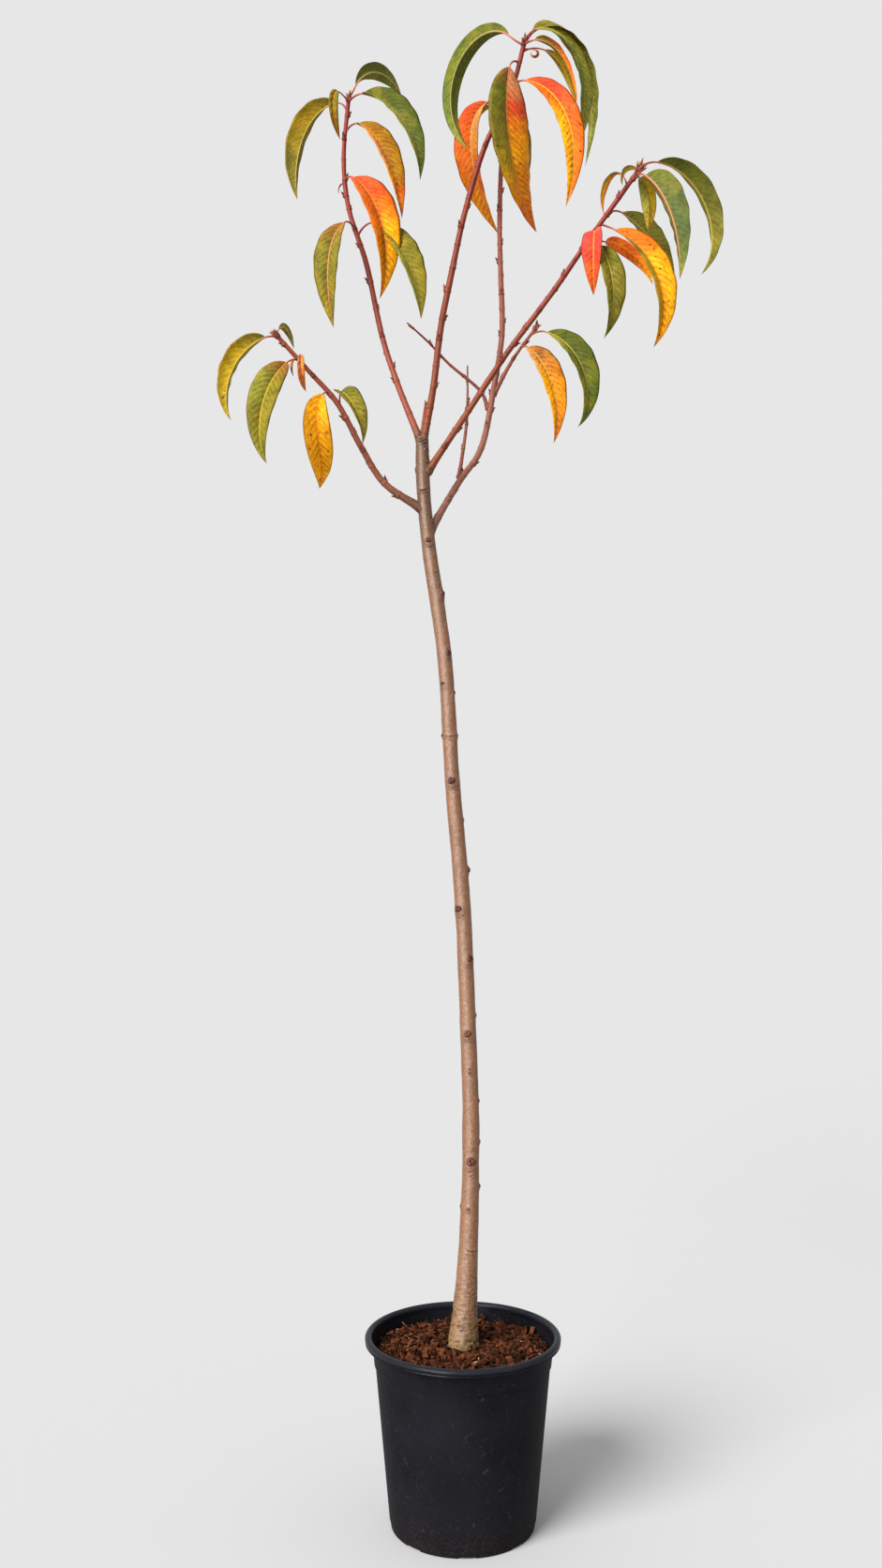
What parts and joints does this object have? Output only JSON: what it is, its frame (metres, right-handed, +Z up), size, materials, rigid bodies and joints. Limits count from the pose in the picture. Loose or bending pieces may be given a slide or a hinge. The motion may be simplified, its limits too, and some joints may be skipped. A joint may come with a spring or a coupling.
{
  "type": "potted dwarf peach tree",
  "caption": "Young dwarf peach tree in autumn leaf, with a slender bare trunk, a few upright boughs and drooping leaves, growing in a black nursery pot of bark compost.",
  "frame": {"origin": "centre of the pot's flat underside, which stands on the ground", "axes": "+Z up along the trunk, +X to the right of the front view, -Y towards the viewer of the front view"},
  "size_m": [0.5444, 0.3952, 1.6814],
  "materials": {
    "pot_plastic": "satin",
    "compost": "matte",
    "trunk_bark": "matte",
    "grey_bark": "matte",
    "red_bark": "matte",
    "foliage": "satin"
  },
  "bodies": {
    "root": {"pot": "pot_plastic", "compost": "compost", "trunk": "trunk_bark", "rear_bough": "grey_bark", "low_left_bough": "red_bark", "right_bough": "red_bark", "upper_left_bough": "red_bark", "centre_bough": "red_bark", "fork_stub": "grey_bark", "upright_twig": "grey_bark", "crossing_twig": "grey_bark", "low_left_spray": "foliage", "upper_left_spray": "foliage", "centre_spray": "foliage", "rear_spray": "foliage", "side_spray": "foliage", "right_spray": "foliage"}
  },
  "joints": []
}
